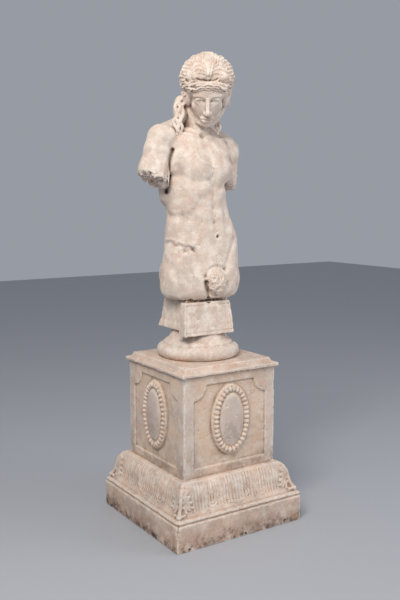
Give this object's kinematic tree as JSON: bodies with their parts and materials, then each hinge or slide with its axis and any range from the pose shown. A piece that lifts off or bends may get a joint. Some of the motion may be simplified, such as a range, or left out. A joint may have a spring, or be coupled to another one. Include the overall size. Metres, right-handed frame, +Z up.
{
  "type": "classical youth torso statue on a square garden pedestal",
  "caption": "Weathered cast stone figure of a nude classical youth, armless and cut at the thighs, standing on a square pedestal with oval medallions and a leafed foot.",
  "frame": {"origin": "centre of the pedestal's square underside", "axes": "+Z up, -Y the front, towards which the torso faces, +X the figure's left"},
  "size_m": [0.51, 0.51, 1.6091],
  "materials": {
    "figure_stone": "pale cream-pink cast stone, chalky, with lime bloom on the high spots and brown dirt in the hollows",
    "pedestal_stone": "beige-pink cast stone, matt and worn, with grey and ochre stains and dark mould along the foot"
  },
  "bodies": {
    "root": {"statue": "figure_stone", "pedestal": "pedestal_stone"}
  },
  "joints": []
}
